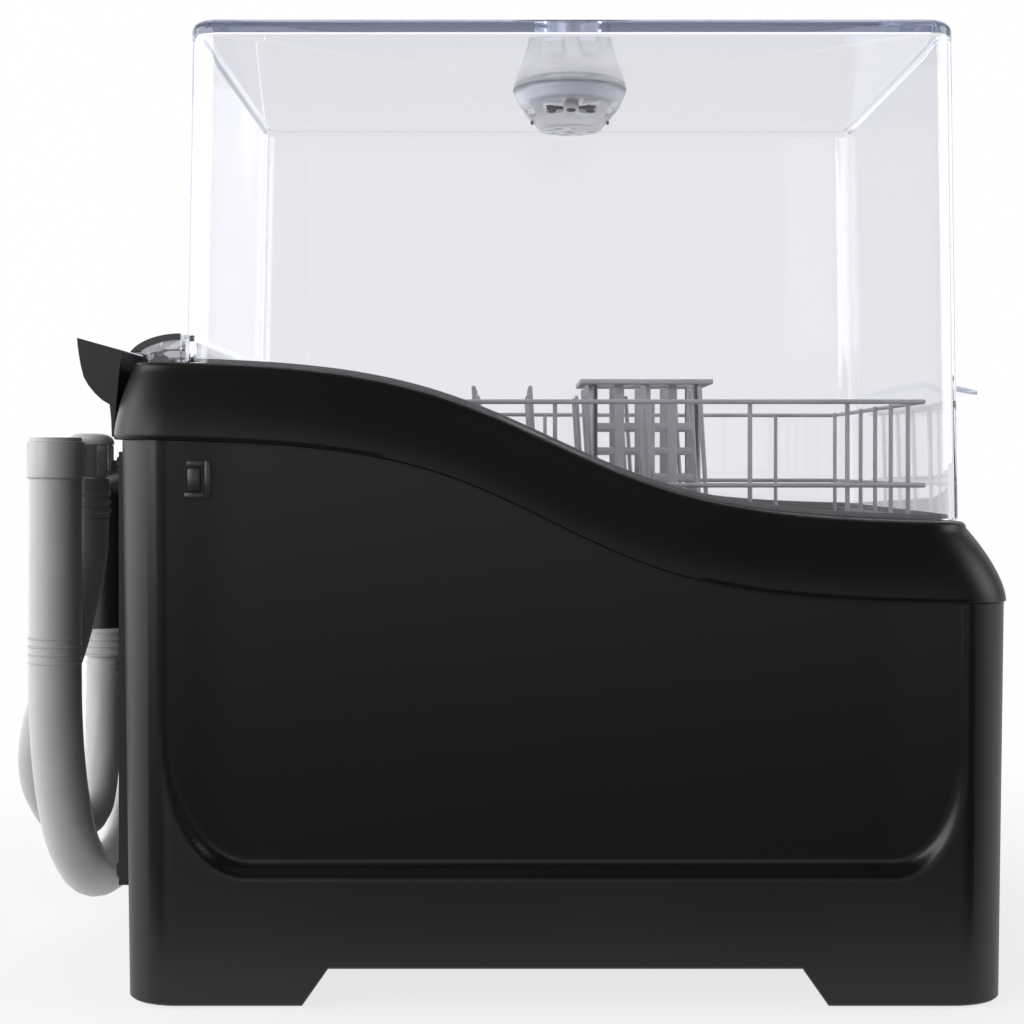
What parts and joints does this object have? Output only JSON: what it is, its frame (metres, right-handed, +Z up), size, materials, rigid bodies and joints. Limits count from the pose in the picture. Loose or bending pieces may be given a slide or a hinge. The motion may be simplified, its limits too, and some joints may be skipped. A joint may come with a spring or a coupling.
{
  "type": "countertop dishwasher",
  "caption": "Worktop dishwasher with swept black case, clear lift-up lid, wire rack, cutlery basket and parked water hoses.",
  "frame": {"origin": "on the worktop, under the middle of the machine without its hoses", "axes": "+X from the rear, where the hoses hang, to the front with the buttons; +Y to the side away from the switch; +Z up"},
  "size_m": [0.4899, 0.353, 0.4648],
  "materials": {
    "case_black": "satin moulded ABS",
    "deck_black": "satin moulded ABS",
    "dark_plastic": "fine matt moulded plastic",
    "gloss_black": "polished plastic",
    "rubber": "soft matt rubber",
    "tub_grey": "smooth polypropylene",
    "clear_lid": "clear moulded plastic, polished",
    "clear_vent": "clear moulded plastic",
    "rack_coat": "grey nylon coating on steel wire",
    "basket_grey": "grey polypropylene",
    "grey_plastic": "moulded plastic",
    "steel": "plain bright steel",
    "motor_grey": "dull painted steel",
    "white_plastic": "moulded plastic",
    "board_green": "printed circuit board",
    "hose_grey": "flexible PVC",
    "fitting_grey": "moulded plastic"
  },
  "bodies": {
    "machine": {"case_shell": "case_black", "base_plate": "dark_plastic", "foot_pad_rl": "rubber", "foot_pad_rr": "rubber", "foot_pad_fl": "rubber", "foot_pad_fr": "rubber", "deck": "deck_black", "tub": "tub_grey", "deck_seal": "rubber", "hinge_block_l": "dark_plastic", "hinge_block_r": "dark_plastic", "hinge_pin_l": "steel", "hinge_pin_r": "steel", "drip_guard": "dark_plastic", "sump": "grey_plastic", "spray_post": "grey_plastic", "spray_nut": "grey_plastic", "pump_housing": "dark_plastic", "pump_motor": "motor_grey", "heater": "steel", "drain_pump": "dark_plastic", "drain_pipe": "dark_plastic", "inlet_valve": "white_plastic", "fill_pipe": "dark_plastic", "control_board": "board_green", "control_panel": "gloss_black", "switch_bezel": "dark_plastic", "rear_panel": "dark_plastic", "rear_screws": "steel", "power_inlet": "gloss_black", "drain_outlet": "dark_plastic", "fill_inlet": "dark_plastic", "hose_holder": "dark_plastic", "drain_hose": "hose_grey", "fill_hose": "hose_grey", "drain_cuff": "fitting_grey", "fill_cuff": "fitting_grey", "drain_fitting": "fitting_grey", "fill_fitting": "fitting_grey", "fill_sleeve": "fitting_grey"},
    "lid": {"lid": "clear_lid", "lid_cowl": "clear_lid", "lid_arm_l": "clear_lid", "lid_arm_r": "clear_lid", "vent_collar": "clear_vent", "vent_cap": "clear_vent"},
    "vent": {"vent_bowl": "clear_vent"},
    "rack": {"rack": "rack_coat", "plate_tines": "rack_coat"},
    "basket": {"cutlery_basket": "basket_grey"},
    "filter": {"filter_cup": "grey_plastic"},
    "spray": {"spray_arm": "grey_plastic"},
    "pump_rotor": {"impeller": "white_plastic"},
    "drain_rotor": {"drain_impeller": "white_plastic"},
    "float": {"float_cap": "white_plastic"},
    "power_key": {"button_power": "grey_plastic"},
    "program_key": {"button_program": "grey_plastic"},
    "start_key": {"button_start": "grey_plastic"},
    "power_rocker": {"switch_rocker": "dark_plastic"}
  },
  "joints": [
    {"name": "lid_hinge", "type": "hinge", "parent": "machine", "child": "lid", "pos_m": [-0.1932, 0, 0.302], "axis": [0, -1, 0], "range_deg": [0, 105]},
    {"name": "vent_twist", "type": "hinge", "parent": "lid", "child": "vent", "pos_m": [0.0155, 0, 0.44], "axis": [0, 0, 1], "range_deg": [0, 40]},
    {"name": "rack_lift", "type": "slide", "parent": "machine", "child": "rack", "axis": [0, 0, 1], "range_m": [0, 0.075]},
    {"name": "basket_lift", "type": "slide", "parent": "rack", "child": "basket", "axis": [0, 0, 1], "range_m": [0, 0.05]},
    {"name": "filter_twist", "type": "hinge", "parent": "machine", "child": "filter", "pos_m": [0.0138, 0, 0.1], "axis": [0, 0, 1], "range_deg": [0, 45]},
    {"name": "spray_spin", "type": "hinge", "parent": "machine", "child": "spray", "pos_m": [0.0138, 0, 0.128], "axis": [0, 0, 1], "continuous": true},
    {"name": "pump_spin", "type": "hinge", "parent": "machine", "child": "pump_rotor", "pos_m": [0.0138, 0, 0.06], "axis": [0, 0, 1], "continuous": true},
    {"name": "drain_spin", "type": "hinge", "parent": "machine", "child": "drain_rotor", "pos_m": [-0.092, -0.07, 0.048], "axis": [1, 0, 0], "continuous": true},
    {"name": "float_rise", "type": "slide", "parent": "machine", "child": "float", "axis": [0, 0, 1], "range_m": [0, 0.006]},
    {"name": "power_press", "type": "slide", "parent": "machine", "child": "power_key", "axis": [-1, 0, 0], "range_m": [0, 0.0015], "stiffness_N_per_m": 400},
    {"name": "program_press", "type": "slide", "parent": "machine", "child": "program_key", "axis": [-1, 0, 0], "range_m": [0, 0.0015], "stiffness_N_per_m": 400},
    {"name": "start_press", "type": "slide", "parent": "machine", "child": "start_key", "axis": [-1, 0, 0], "range_m": [0, 0.0015], "stiffness_N_per_m": 400},
    {"name": "rocker_tilt", "type": "hinge", "parent": "machine", "child": "power_rocker", "pos_m": [-0.1618, -0.1675, 0.242], "axis": [0, 0, 1], "range_deg": [-8, 8]}
  ]
}
